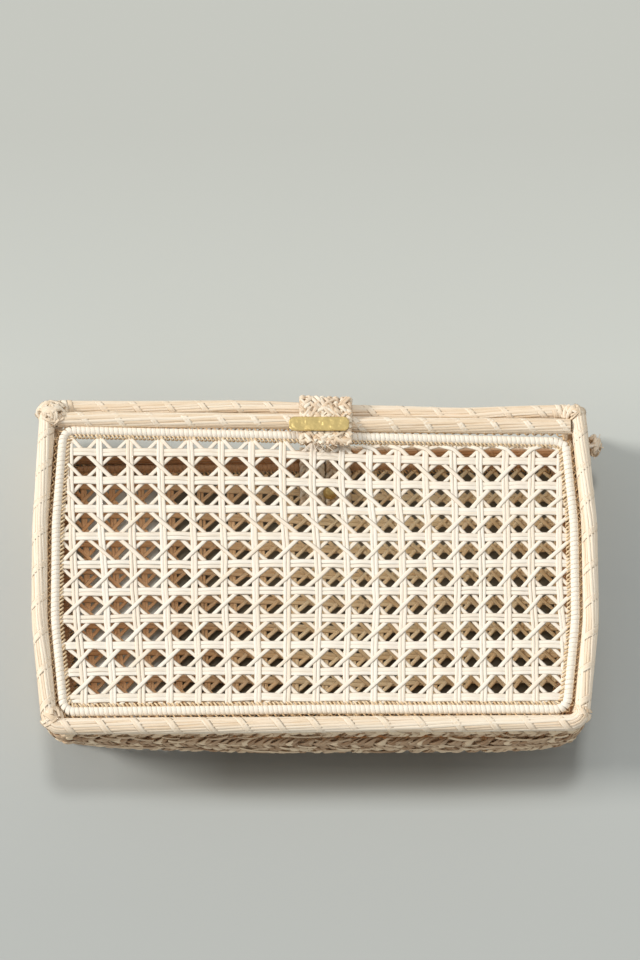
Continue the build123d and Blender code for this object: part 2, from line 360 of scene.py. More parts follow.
# By how much the bag strays from its plain form, in millimetres
MOUTH_FLARE = 1.4
FOOT_TAPER = 2.6
LEFT_LEAN = 0.6
FOOT_LIFT = 1.6
BACK_FOOT_LIFT = 4.9
BACK_CORNERS_LIFT = 2.6
GUSSET_BELLY = 5.6
ROD_TOP_SAG = 5.4
BACK_TOP_SAG = 4.0
RIM_SAG = 2.5
TOP_ROLL_SAG = 1.3
WAVE = 0.5
WAVE_LENGTH = 60


def unit(value):
    """The value, kept between 0 and 1."""
    return min(max(value, 0.0), 1.0)


def hump(value, middle, reach):
    """1 in the middle, and down to 0 at the reach on either side."""
    return max(0.0, 1 - abs(value - middle) / reach)


def handmade(point):
    """Small unevenness of the whole bag at a point: no two corners are alike."""
    u, v = point.x / SIDE_X, point.y / RUN_Y
    height = point.z / FRONT_Z
    low, high = max(0.0, -v), max(0.0, v)
    left = max(0.0, -u)
    wide = u * (MOUTH_FLARE * high - FOOT_TAPER * low * low - 0.4) - left * (LEFT_LEAN + 1.5 * high)
    lift = (1.2 * high - 2.0 * low) * left ** 1.5 + FOOT_LIFT * low + 0.4 * max(0.0, v - 1)
    # The back's foot lies further in than the front's, most of all at its corners
    lift += low ** 4 * max(0.0, 1 - height) ** 2 * (BACK_FOOT_LIFT + BACK_CORNERS_LIFT * abs(u) ** 5)
    lift += unit((-u - 0.68) / 0.2) * unit((low - 0.82) / 0.16) * unit((0.95 - height) / 0.12)
    # The gusset's run along the foot bulges between its ends
    if low > 1.005:
        fade = 1 - abs(u) ** (2 if u < 0 else 8)
        lift -= GUSSET_BELLY * math.sin(math.pi * unit(height * 0.95 + 0.06)) ** 2 * fade
    # The top of the front's rod and cane sags to the right of the strap
    if height > 0.8 and v > 0.6:
        lift += (1.0 - ROD_TOP_SAG * unit((u + 0.05) * 5)) * hump(v, 0.9, 0.09)
    # The back's top edge, then the rim, and then the front's top roll
    if height < 0.3 and v > 0.8:
        lift += 1.0 - BACK_TOP_SAG * unit((0.2 - u) * 3)
    elif v > 1.02:
        wide -= 1.2 * left ** 4
        lift += hump(u, -0.3, 0.4) - RIM_SAG * hump(u, 0.55, 0.7)
    elif v > 0.985:
        lift -= (TOP_ROLL_SAG + 1.4 * u) * unit(u * 6)
    place = Vector((point.x / WAVE_LENGTH, point.y / WAVE_LENGTH, point.z / WAVE_LENGTH + 3))
    wave = noise.noise_vector(place) * WAVE
    return Vector((wide + wave.x, lift + wave.y, wave.z * 0.4))


# Making pieces


def path_mesh(name, lines):
    """Mesh of bare edges along each line of points, in the row frame, with each point's breadth."""
    verts, edges, broad = [], [], []
    for points in lines:
        first = len(verts)
        for point in points:
            place, breadth = point if isinstance(point, tuple) else (point, 1.0)
            verts.append((place + handmade(place)) * MM + CENTRE)
            broad.append(breadth)
        edges += [(first + i, first + i + 1) for i in range(len(points) - 1)]
    mesh = bpy.data.meshes.new(name)
    mesh.from_pydata(verts, edges, [])
    mesh.attributes.new("broad", "FLOAT", "POINT").data.foreach_set("value", broad)
    return mesh


def make(name, tree, lines, finish, slot, body="bag", stands_for=(), **sizes):
    """One finished piece: the tree run along the lines, as a plain mesh that rides on its body."""
    source = bpy.data.objects.new(name + "_lines", path_mesh(name, lines))
    bpy.context.scene.collection.objects.link(source)
    modifier = source.modifiers.new("shape", "NODES")
    modifier.node_group = tree
    sizes["finish"] = finish
    for item in tree.interface.items_tree:
        key = item.name.replace(" ", "_").lower()
        if item.in_out == "INPUT" and key in sizes:
            modifier[item.identifier] = sizes[key]
    evaluated = source.evaluated_get(bpy.context.evaluated_depsgraph_get())
    mesh = bpy.data.meshes.new_from_object(evaluated)
    mesh.name = name
    mesh.shade_smooth()
    bpy.data.objects.remove(source)
    piece = bpy.data.objects.new(name, mesh)
    bpy.context.scene.collection.objects.link(piece)
    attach(piece, body)
    if stands_for:
        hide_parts(*stands_for)
    return piece


def inside_panel(x, y, margin):
    """Whether a point lies inside the cane work's outline, grown by the margin."""
    half_x, half_y = side_x(y, CANE_INSET) + margin, CANE_Y + margin
    if abs(x) > half_x or abs(y) > half_y:
        return False
    reach_x, reach_y = abs(x) - half_x + CANE_CORNER, abs(y) - half_y + CANE_CORNER
    return reach_x <= 0 or reach_y <= 0 or math.hypot(reach_x, reach_y) <= CANE_CORNER


# Cane work: where its columns stand, by how far each drifts from an even spacing
MESH_ACROSS = 14.3
MESH_UP = 14.0
MESH_DROP = 2.1
COLUMNS = 17
ROWS = 9
DRIFT_TOP = (0.1, 3.0, 5.7, 4.4, -0.3)
DRIFT_MIDDLE = (2.3, 4.5, 8.7, 6.4, -0.8)
DRIFT_BOTTOM = (7.2, 6.5, 7.7, 6.4, 1.2)
STEPS_PER_GAP = 8
SHORTEST_RUN = 4
PANEL_SAG = 1.7
RIGHT_TOP_SAG = 3.2
BACK_MESH_ACROSS = 2.4
BACK_MESH_DROP = 3.2


def between(values, share):
    """Smooth value along a list of even steps, for a share from 0 to 1."""
    place = unit(share) * (len(values) - 1)
    first = min(int(place), len(values) - 2)
    part = place - first
    part = part * part * (3 - 2 * part) * 0.5 + part * 0.5
    return values[first] * (1 - part) + values[first + 1] * part


def cane_point(u, v, seed, turned_over):
    """Point of the cane work from its place counted in gaps from the middle."""
    share = u / (COLUMNS - 1) + 0.5
    rows = [between(values, share) for values in (DRIFT_BOTTOM, DRIFT_MIDDLE, DRIFT_TOP)]
    drift = between(rows, v / (ROWS - 1) + 0.5)
    wobble = noise.noise_vector(Vector((u * 0.45, v * 0.45, seed))) * 0.75
    fine = noise.noise_vector(Vector((u * 1.3, v * 1.3, seed + 5))) * 0.3
    x = u * MESH_ACROSS + drift + wobble.x + fine.x
    y = v * MESH_UP - MESH_DROP + wobble.y + fine.y
    y -= PANEL_SAG * (1 - (v / 4.6) ** 2) + RIGHT_TOP_SAG * (max(v, 0.0) / 4) ** 2 * unit(share * 3 - 1.2)
    if turned_over:
        middle = unit(share * 3 - 0.5)
        x += BACK_MESH_ACROSS + 1.2 * middle
        y = y * 1.03 - BACK_MESH_DROP - 3.0 * middle + 1.8 * unit(share * 4 - 2.2)
    return Vector((x, y, 0))


def cane_lines(base_z, seed, turned_over=False):
    """Lines of all strips of one panel: pairs up and across, and single slanting ones."""
    chance = random.Random(seed)
    facing = -1 if turned_over else 1
    lines = []

    def rising(u, v):
        """Whether the strip that slopes up to the right lies on top at the nearest crossing."""
        node_u, node_v = math.floor(u) + 0.5, round(v)
        order = noise.noise(Vector((node_u * 0.9, node_v * 0.9, seed + 40))) * 2.2
        return 1.3 - 0.9 * max(0.0, node_v + 0.5) + 0.45 * max(0.0, node_u) + order > 0

    def slanting(u, v, up):
        """Height of a slanting strip: over the uprights or under them, and under the level strips."""
        swing = math.cos(2 * math.pi * u)
        return 0.25 - 0.17 * swing if rising(u, v) == up else -0.38 + 0.04 * swing

    def upright(u, v):
        """Height of an upright strip, which passes over the level ones."""
        return 0.15 + 0.15 * math.cos(2 * math.pi * (v - 0.5))

    def level(u, v):
        """Height of a level strip, which covers the crossings of the slanting ones."""
        return 0.19 - 0.31 * math.cos(2 * math.pi * (u - 0.5))

    def lay(start, end, side, breadth, height):
        """One strip from start to end in gap places, moved sideways, at a height that weaves."""
        steps = round((Vector(end) - Vector(start)).length * STEPS_PER_GAP)
        slip = chance.uniform(-0.16, 0.16)
        direction = (Vector(end) - Vector(start)).normalized()
        run = []
        for step in range(steps + 1):
            share = step / steps
            u = start[0] + (end[0] - start[0]) * share
            v = start[1] + (end[1] - start[1]) * share
            point = cane_point(u, v, seed, turned_over)
            sway = side + slip + 0.22 * noise.noise(Vector((share * 5, slip * 90, seed)))
            point += Vector((-direction.y, direction.x, 0)) * sway
            if inside_panel(point.x, point.y, 1.3):
                clear_of_edge = inside_panel(point.x, point.y, -1.6)
                rise = height(u, v) if clear_of_edge else height(u, v) * 0.4 - 0.35
                point.z = base_z + facing * rise
                run.append((point, breadth))
                continue
            if len(run) >= SHORTEST_RUN:
                lines.append(run)
            run = []
        if len(run) >= SHORTEST_RUN:
            lines.append(run)

    far_u, far_v = COLUMNS / 2 + 1.4, ROWS / 2 + 1.1
    for column in range(-1, COLUMNS + 2):
        u = column - COLUMNS / 2
        for side in (-0.84, 0.84):
            lay((u, -far_v), (u, far_v), side, 0.95, upright)
    for row in range(ROWS + 1):
        v = row - ROWS / 2
        for side in (-0.98, 0.98):
            lay((-far_u, v), (far_u, v), side, 1.22, level)
    for shift in range(-COLUMNS - 1, COLUMNS + 2):
        k = shift + 0.5
        lay((-far_v - k, -far_v), (far_v - k, far_v), 0, 1.08, lambda u, v: slanting(u, v, True))
        lay((far_v + k, -far_v), (-far_v + k, far_v), 0, 1.08, lambda u, v: slanting(u, v, False))
    return lines


# Finishes


def new_material(name):
    """A plain material, its node tree and its shader node."""
    material = bpy.data.materials.new(name)
    material.use_nodes = True
    return material, material.node_tree, material.node_tree.nodes["Principled BSDF"]


def bumps(tree, shader, height, strength, depth):
    """Fine relief on a surface."""
    node = add(tree, "ShaderNodeBump")
    node.inputs["Strength"].default_value = strength
    node.inputs["Distance"].default_value = depth
    tree.links.new(height, node.inputs["Height"])
    tree.links.new(node.outputs[0], shader.inputs["Normal"])


def fibre_group():
    """Plant fibre: streaks along each strip, one tint for each strip, painted shade along its edges, and
    its fine relief.
    """
    group = bpy.data.node_groups.new("plant fibre", "ShaderNodeTree")
    for way, name, kind in (
        ("INPUT", "Pale", "Color"),
        ("INPUT", "Deep", "Color"),
        ("INPUT", "Blush", "Color"),
        ("INPUT", "Streaks across", "Float"),
        ("INPUT", "Depth of tint", "Float"),
        ("OUTPUT", "Colour", "Color"),
        ("OUTPUT", "Gloss", "Float"),
        ("OUTPUT", "Relief", "Float"),
    ):
        group.interface.new_socket(name, in_out=way, socket_type="NodeSocket" + kind)
    given = group.nodes.new("NodeGroupInput").outputs
    along, across, tint = (
        add(group, "ShaderNodeAttribute", attribute_name=name).outputs["Fac"]
        for name in ("along", "across", "tint")
    )
    # Painted shade along both edges of each strip, where it meets the next
    edge = ramp(group, calc(group, "ABSOLUTE", across), 0.76, 1.0, 0.0, 0.24)
    across = calc(group, "MULTIPLY", across, 0.25)
    own = calc(group, "MULTIPLY", tint, 91.0)

    def streaks(per_metre, across_rate, detail, roughness):
        """Noise drawn out along the strip, different on each one."""
        far = calc(group, "MULTIPLY", along, per_metre)
        aside = calc(group, "MULTIPLY", across, across_rate)
        place = add(group, "ShaderNodeCombineXYZ", far, aside, own)
        return add(group, "ShaderNodeTexNoise", place.outputs[0], 1.0, detail, roughness).outputs[0]

    broad = streaks(70.0, given["Streaks across"], 2.0, 0.6)
    fine = streaks(160.0, calc(group, "MULTIPLY", given["Streaks across"], 4.5), 3.0, 0.65)
    body_place = add(group, "ShaderNodeTexCoord").outputs["Object"]
    patches = add(group, "ShaderNodeTexNoise", body_place, 55.0, 2.0, 0.5).outputs[0]
    mixed = calc(group, "ADD", calc(group, "MULTIPLY", broad, 0.7), calc(group, "MULTIPLY", fine, 0.6))
    spread = calc(group, "MULTIPLY", calc(group, "SUBTRACT", tint, 0.5), given["Depth of tint"])
    colour = blend(
        group, ramp(group, calc(group, "ADD", mixed, spread), 0.34, 0.86), given["Deep"], given["Pale"]
    )
    colour = blend(group, ramp(group, patches, 0.45, 0.75, 0.0, 0.55), colour, given["Blush"])
    # The painted edge shade, in the deep colour
    colour = blend(group, edge, colour, given["Deep"], "MULTIPLY")
    end = group.nodes.new("NodeGroupOutput")
    group.links.new(colour, end.inputs["Colour"])
    group.links.new(ramp(group, fine, 0.3, 0.7, 0.42, 0.68), end.inputs["Gloss"])
    group.links.new(mixed, end.inputs["Relief"])
    return group


def painted_inside_shade(tree, colour, left_shade, right_shade):
    """Painted shade inside the bag: the colour toned down where it faces up there, by a tone that goes from
    left to right.
    """
    place = add(tree, "ShaderNodeTexCoord").outputs
    facing = add(tree, "ShaderNodeSeparateXYZ", place["Normal"]).outputs["Z"]
    spot = add(tree, "ShaderNodeSeparateXYZ", place["Object"]).outputs
    from_middle = calc(tree, "ABSOLUTE", calc(tree, "SUBTRACT", spot["X"], CENTRE.x))
    # Where the painted shade falls: on faces turned up, away from the sides, the top and the foot
    share = product(
        tree,
        ramp(tree, facing, -0.1, 0.5),
        ramp(tree, from_middle, (SIDE_X - 4.5) * MM, (SIDE_X - 1.5) * MM, 1.0, 0.0),
        ramp(tree, spot["Y"], TOP_Y, TOP_Y + 0.003, 1.0, 0.0),
        ramp(tree, spot["Y"], BOTTOM_Y + 0.004, BOTTOM_Y + 0.001, 1.0, 0.0),
    )
    tone = blend(tree, ramp(tree, spot["X"], -0.10, 0.0), (*left_shade, 1), (*right_shade, 1))
    return blend(tree, share, colour, tone, "MULTIPLY")


def fibre_finish(name, pale, deep, blush, streaks, tint, inner=None):
    """Material of one kind of straw or cane; inner gives the two tones of painted shade that it takes where
    it faces up inside the bag.
    """
    material, tree, shader = new_material(name)
    plant = add(
        tree, "ShaderNodeGroup", (*pale, 1), (*deep, 1), (*blush, 1), streaks, tint, node_tree=FIBRE
    ).outputs
    colour = painted_inside_shade(tree, plant["Colour"], *inner) if inner else plant["Colour"]
    tree.links.new(colour, shader.inputs["Base Color"])
    tree.links.new(plant["Gloss"], shader.inputs["Roughness"])
    bumps(tree, shader, plant["Relief"], 0.6, 0.0003)
    shader.inputs["Specular IOR Level"].default_value = 0.35
    return material


def metal_finish(name, colour, roughness, grain, relief):
    """Plain metal with light hammering and rubbed patches."""
    material, tree, shader = new_material(name)
    place = add(tree, "ShaderNodeTexCoord").outputs["Object"]
    dents = add(tree, "ShaderNodeTexNoise", place, grain, 1.5, 0.5).outputs[0]
    rubbed = add(tree, "ShaderNodeTexNoise", place, grain * 0.6, 3.0, 0.6).outputs[0]
    darker = tuple(c * 0.72 for c in colour)
    tree.links.new(blend(tree, rubbed, (*darker, 1), (*colour, 1)), shader.inputs["Base Color"])
    tree.links.new(ramp(tree, rubbed, 0.3, 0.7, roughness, roughness + 0.18), shader.inputs["Roughness"])
    bumps(tree, shader, dents, 0.8, relief)
    shader.inputs["Metallic"].default_value = 1.0
    return material


# Each kind of fibre: its pale, deep and blushing colour
FIBRE = fibre_group()
CREAM = ((0.95, 0.84, 0.68), (0.78, 0.57, 0.36), (0.92, 0.76, 0.59))
WHITE = ((0.97, 0.90, 0.78), (0.90, 0.75, 0.57), (0.96, 0.84, 0.71))
HONEY = ((0.92, 0.75, 0.50), (0.62, 0.37, 0.16), (0.86, 0.64, 0.39))
TAWNY = ((0.93, 0.74, 0.51), (0.36, 0.20, 0.10), (0.80, 0.57, 0.36))
SAND = ((0.95, 0.86, 0.70), (0.66, 0.44, 0.25), (0.92, 0.75, 0.58))
# Painted shade, as one tone at the left and one at the right, for the back's pieces where they face up
# inside the bag
ROLL_PAINTED_SHADE = ((0.46, 0.27, 0.15), (0.50, 0.30, 0.17))
ROD_PAINTED_SHADE = ((0.52, 0.31, 0.18), (0.56, 0.34, 0.20))
CANE_PAINTED_SHADE = ((1.0, 0.64, 0.38), (1.0, 0.86, 0.62))
straw = fibre_finish("roll straw", *CREAM, 9, 0.35)
wrap = fibre_finish("wrapped strip", *WHITE, 7, 0.3)
cane = fibre_finish("cane strip", *WHITE, 8, 0.3)
# Copies of three finishes with painted shade where they face up inside the bag
straw_with_painted_shade = fibre_finish("back roll straw", *CREAM, 9, 0.35, ROLL_PAINTED_SHADE)
wrap_with_painted_shade = fibre_finish("back wrapped strip", *WHITE, 7, 0.3, ROD_PAINTED_SHADE)
cane_with_painted_shade = fibre_finish("back cane strip", *WHITE, 8, 0.8, CANE_PAINTED_SHADE)
lace = fibre_finish("lacing", *HONEY, 6, 0.5)
plaited = fibre_finish("plaited straw", *TAWNY, 7, 0.6)
woven = fibre_finish("strap straw", *SAND, 8, 0.5)
brass = metal_finish("hammered brass", (0.80, 0.605, 0.25), 0.3, 330, 0.0016)
steel = metal_finish("dull steel", (0.55, 0.55, 0.56), 0.35, 300, 0.00005)
for node, finish in (
    ("brass_bar", brass),
    ("anchor_stud", brass),
    ("stud_washer", brass),
    ("roll_magnet", steel),
    ("strap_magnet", steel),
):
    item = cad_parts[node]
    item.data.materials.clear()
    item.data.materials.append(finish)


# Pieces

strands = strands_tree()
strips = strips_tree()


def roll(name, path, node, seed, radius, side=UP, count=15, finish=straw):
    """Roll of straws round a path."""
    reach = (radius - 0.55) * MM
    return make(
        name, strands, [path], finish, slot="straw_roll", stands_for=[node], width=0.0019, thickness=0.0011,
        uneven=0.2, strands=count, turn_length=0.5, spread_across=reach, spread_up=reach, step=0.0028,
        wander=0.06, wander_length=0.035, seed=seed, side=side,
    )


def spiral(name, paths, finish, slot, seed, radius, pitch, width, thickness, **more):
    """Strip wound round a path as a spiral; its measures are in millimetres."""
    reach = radius * MM
    settings = dict(
        width=width * MM, thickness=thickness * MM, uneven=0.1, strands=1, turn_length=-pitch * MM,
        spread_across=reach, spread_up=reach, step=pitch * MM / 14, wander=0.12,
        wander_length=pitch * 2 * MM, side=UP,
    )
    settings.update(more)
    return make(name, strands, paths, finish, slot=slot, seed=seed, **settings)


for label, z, cane_z, seed, over, rolled, wound, caned in (
    ("front", FRONT_Z, FRONT_CANE_Z, 3, False, straw, wrap, cane),
    ("back", BACK_Z, BACK_Z, 23, True, straw_with_painted_shade, wrap_with_painted_shade, cane_with_painted_shade),
):
    outer = u_path(0, z, ROLL_CORNER, SIDE_TOP)
    end_x = side_x(SIDE_TOP) - ROLL_R - 0.2
    top = dense([Vector((-end_x, RUN_Y, z)), Vector((end_x, RUN_Y, z))], 3)
    roll(label + "_roll_straws", outer, label + "_frame_roll", seed, ROLL_R, finish=rolled)
    roll(label + "_top_straws", top, label + "_top_roll", seed + 1, ROLL_R, finish=rolled)
    spiral(
        label + "_roll_binding", [outer, top], rolled, "straw_roll", seed + 2,
        radius=ROLL_R - 0.12, pitch=17.2, width=3.4, thickness=0.42,
    )
    # The wrapping runs on past its start, so that no slit shows there
    ring = ring_path(ROD_INSET, ROD_Y, z, ROD_CORNER)
    spiral(
        label + "_rod_wraps", [ring + [ring[0] + Vector((2.6, 0, 0))]], wound, "wrapped_rod", seed + 3,
        radius=ROD_R - 0.18, pitch=2.35, width=2.75, thickness=0.38, stands_for=[label + "_inner_rod"],
        step=0.0002, wander=0.35, wander_length=0.012, uneven=0.0, profile_points=5,
    )
    inner = ring_path(CANE_INSET + 0.3, CANE_Y - 0.2, cane_z - 0.5, CANE_CORNER)
    spiral(
        label + "_inner_lacing", [inner], lace, "wrapped_rod", seed + 4,
        radius=1.05, pitch=4.1, width=0.95, thickness=0.75,
        strands=2, step=0.0004, profile_points=5, wander=0.3, wander_length=0.01,
    )
    beside = ring_path(ROLL_R + 0.7, RUN_Y - ROLL_R - 0.25, z - 0.6, ROD_CORNER + 3)
    spiral(
        label + "_outer_lacing", [beside], lace, "wrapped_rod", seed + 5,
        radius=0.75, pitch=4.1, width=0.9, thickness=0.6,
        step=0.00045, profile_points=5, wander=0.3, wander_length=0.01,
    )
    make(
        label + "_cane_strips", strips, cane_lines(cane_z, seed, over), caned, slot="cane_strip",
        stands_for=[label + "_cane_panel"], width=0.0019, thickness=0.0004, uneven=0.12,
        profile_points=6, seed=seed + 6, face=(0, 0, -1 if over else 1),
    )

ROW_BELLIES = (0.0, 1.6, 1.6, 0.9)
ROW_HEIGHT = (FRONT_Z - BACK_Z - 2 * ROLL_R) / len(ROW_BELLIES)
PLAIT = dict(
    strands=3, straws_per_strand=2, depth_rate=2.0, depth_phase=0.0,
)
for row, belly in enumerate(ROW_BELLIES):
    outset = 0.8 + belly
    z = BACK_Z + ROLL_R + ROW_HEIGHT * (row + 0.5)
    path = u_path(-outset, z, ROLL_CORNER + outset, SIDE_TOP)
    make(
        f"gusset_braid_{row + 1}", strands, [dense(path, 3)], plaited, slot="straw_plait",
        stands_for=[f"gusset_plait_{row + 1}"], width=0.0040, thickness=0.0011, uneven=0.3,
        profile_points=6, straw_shift=0.09, turn_length=(-1) ** row * 0.0215, spread_across=0.0012,
        spread_up=ROW_HEIGHT * 0.41 * MM, flat=0.75, step=0.00125, wander=0.4, wander_length=0.03,
        start=row * 0.37, seed=50 + row, **PLAIT,
    )

leg_x = side_x(SIDE_TOP) - 0.5
leg_z = BACK_Z + ROLL_R + 0.2
rim_corners = [
    Vector((x, RIM_Y, z)) for x, z in ((-leg_x, leg_z), (-leg_x, RIM_Z), (leg_x, RIM_Z), (leg_x, leg_z))
]
rim = dense(rounded(rim_corners, [0, 8, 8, 0]), 3)
roll("rim_straws", rim, "mouth_rim_roll", 60, RIM_R, side=TOWARDS_MOUTH, count=14)
spiral(
    "rim_binding", [rim], straw, "straw_roll", 61,
    radius=RIM_R - 0.12, pitch=17.0, width=3.2, thickness=0.42, side=TOWARDS_MOUTH,
)

# The strap: plaits side by side, over the mouth and down to the root inside the back
strap_end_y = strap_low.y / MM - CENTRE.y / MM
strap_top_y = strap_high.y / MM - CENTRE.y / MM - 1.5
strap_z = strap_high.z / MM - 1.5
hinge_y, hinge_z = RUN_Y + 5.0, strap_low.z / MM + 1.5
strap_x = (strap_low.x + strap_high.x) / 2 / MM - CENTRE.x / MM
STRAP_PLAITS = 4
STRAP_STEP = (strap_high.x - strap_low.x) / MM / STRAP_PLAITS


def strap_weave(name, corners, radii, body, node, seed):
    """Plaits side by side across the strap, along a line through the corners."""
    paths = []
    for index in range(STRAP_PLAITS):
        x = strap_x + (index - (STRAP_PLAITS - 1) / 2) * STRAP_STEP
        points = [Vector((x, y, z)) for y, z in corners]
        paths.append(dense(rounded(points, radii, step=1.0), 2))
    return make(
        name, strands, paths, woven, body=body, slot="strap_weave", stands_for=[node], width=0.0020,
        thickness=0.0009, uneven=0.2, straw_shift=0.1, turn_length=0.0125, spread_across=0.0008,
        spread_up=STRAP_STEP * 0.36 * MM, flat=0.8, step=0.0008, wander=0.25, wander_length=0.008,
        seed=seed, side=ACROSS, **PLAIT,
    )


strap_corners = [(hinge_y, hinge_z), (strap_top_y, RIM_Z), (strap_top_y, strap_z), (strap_end_y, strap_z)]
strap_weave("strap_braids", strap_corners, [0, 0, 7, 0], "strap", "closure_strap", 70)
root_low, root_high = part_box("strap_root")
root_top_z, root_low_z = root_high.z / MM - 1.3, root_low.z / MM + 1.3
root_corners = [
    (root_high.y / MM - CENTRE.y / MM, root_top_z),
    (RUN_Y - ROLL_R / 2, root_top_z),
    (ROD_Y - 2 * ROD_R, root_low_z),
    (root_low.y / MM - CENTRE.y / MM, root_low_z),
]
strap_weave("root_braids", root_corners, [0, 8, 8, 0], "bag", "strap_root", 71)

KNOT_TURNS = 2.3
KNOT_STEPS = 69
knot_centre = (knot_low + knot_high) / 2 / MM - CENTRE / MM
knot_x = knot_high.x / MM - CENTRE.x / MM - 2.6
curl = []
for step in range(KNOT_STEPS + 1):
    share = step / KNOT_STEPS
    angle = share * KNOT_TURNS * 2 * math.pi
    radius = 1.3 + 3.4 * share
    arm = Vector((knot_x - knot_centre.x - 1.4 * share, radius * math.cos(angle), radius * math.sin(angle)))
    curl.append(knot_centre + arm)
curl.append(curl[-1] + Vector((-3.6, -1.0, -0.6)))
make(
    "knot_curl", strands, [curl], wrap, slot="wrapped_rod", stands_for=["side_knot"], width=0.0014,
    thickness=0.0008, uneven=0.15, strands=5, turn_length=0.03, spread_across=0.0009,
    spread_up=0.0009, step=0.0006, wander=0.2, wander_length=0.01, seed=80, side=ACROSS,
)

# Close turns of strip round both ends of the rim
for name, start, end, seed in (("rim_left_ties", 0.10, 0.165, 90), ("rim_right_ties", 0.835, 0.89, 91)):
    spiral(
        name, [part_of(rim, start, end)], straw, "straw_roll", seed,
        radius=RIM_R + 0.1, pitch=5.2, width=2.8, thickness=0.4, side=TOWARDS_MOUTH,
        strands=2, wander=0.5, step=0.0004, uneven=0.25,
    )


def loose_straws(name, lines, finish, slot, seed, width, thickness, uneven, points=6, body="bag", face=UP):
    """Short ends of straw that belong to no single piece; their measures are in millimetres."""
    make(
        name, strips, lines, finish, body=body, slot=slot, width=width * MM, thickness=thickness * MM,
        uneven=uneven, profile_points=points, seed=seed, face=face,
    )


# Fine ends that stray from the knot and from the strap
STRAYS = 22
STRAYS_AT_KNOT = 10
chance = random.Random(17)
strays = []
for spot in range(STRAYS):
    at_knot = spot < STRAYS_AT_KNOT
    knot_end = Vector((knot_x - 3, knot_centre.y, knot_centre.z))
    strap_end = Vector((strap_x + chance.uniform(-12, 12), strap_end_y + 1, strap_z))
    start = knot_end if at_knot else strap_end
    aside = chance.uniform(-0.6, 0.9)
    upwards = chance.uniform(-1, 1 if at_knot else -0.2)
    way = Vector((aside, upwards, chance.uniform(-0.2, 0.2)))
    way.normalize()
    length = chance.uniform(4, 8)
    bend = Vector((chance.uniform(-1, 1), chance.uniform(-1, 1), 0)) * 0.25
    strays.append([start + way * length * t + bend * length * t * t for t in (0, 0.25, 0.5, 0.75, 1)])
loose_straws("stray_straws", strays, straw, "straw_roll", 99, 0.5, 0.3, 0.4, points=4)

# Loose straws along the gusset's foot, where the plaits are sewn together
GUSSET_STRAWS = 120
loose = []
for spot in range(GUSSET_STRAWS):
    x = chance.uniform(-0.9, 0.92) * SIDE_X
    y = -RUN_Y - chance.uniform(3.2, 4.1)
    middle = Vector((x, y, chance.uniform(12, 47)))
    reach = Vector((1, 0, chance.uniform(-0.45, 0.45))) * chance.uniform(3, 8)
    loose.append([middle + reach * t - Vector((0, 0.5 * (1 - t * t), 0)) for t in (-1, -0.5, 0, 0.5, 1)])
loose_straws("gusset_loose_straws", loose, plaited, "straw_plait", 96, 2.6, 0.7, 0.4, face=(0, -1, 0))


def random_way(rise=0.0):
    """A vector in any direction, more often upwards where it is given a rise."""
    return Vector((chance.gauss(0, 1), chance.gauss(0, 1), chance.gauss(rise, 1)))


# Ends of straws tied down over the corners of the mouth, the knot and the corners of the foot
tufts = []
for middle, size, count in (
    ((-SIDE_X + 7.0, RUN_Y + 2.4, FRONT_Z), (7.5, 6.8, 6.2), 50),
    ((SIDE_X - 7.0, RUN_Y + 5.0, FRONT_Z - 0.5), (5.5, 4.6, 5.2), 30),
    ((knot_x - 1.5, knot_centre.y, knot_centre.z), (3.2, 5.6, 5.6), 30),
    ((-SIDE_X + 5.5, -RUN_Y + 4.5, FRONT_Z), (5.2, 5.2, 4.6), 26),
    ((SIDE_X - 4.0, -RUN_Y + 5.5, FRONT_Z), (4.2, 5.0, 4.5), 16),
):
    for spot in range(count):
        pole = random_way(0.8).normalized()
        reach = pole.cross(random_way()).normalized()
        half = chance.uniform(0.4, 0.8)
        run = []
        for t in (-1, -0.66, -0.33, 0, 0.33, 0.66, 1):
            arm = (pole * math.cos(half * t) + reach * math.sin(half * t)) * chance.uniform(0.97, 1.03)
            run.append(Vector(middle) + arm * Vector(size))
        tufts.append(run)
loose_straws("tied_ends", tufts, straw, "straw_roll", 97, 1.8, 0.6, 0.35)

# Straws pulled crosswise through the strap's plaits
STRAP_STRAWS = 110
crossing = []
half_strap = (strap_high.x - strap_low.x) / 2 / MM
for spot in range(STRAP_STRAWS):
    x = chance.uniform(-1, 1) * half_strap
    middle = Vector((x, chance.uniform(strap_end_y + 1, strap_top_y - 3), strap_z + 0.55))
    slope = chance.choice((-1, 1)) * chance.uniform(0.35, 1.1)
    reach = Vector((math.cos(slope), math.sin(slope), 0)) * chance.uniform(2.0, 4.5)
    run = []
    for t in (-1, -0.6, -0.2, 0.2, 0.6, 1):
        point = middle + reach * t
        if abs(point.x) < half_strap - 0.4 and strap_end_y < point.y < strap_top_y - 1:
            run.append(point + Vector((strap_x, 0, 0.6 - 0.9 * t * t)))
    if len(run) > 2:
        crossing.append(run)
loose_straws("strap_crossing_straws", crossing, woven, "strap_weave", 98, 1.5, 0.6, 0.35, body="strap")


# Stage, light and camera


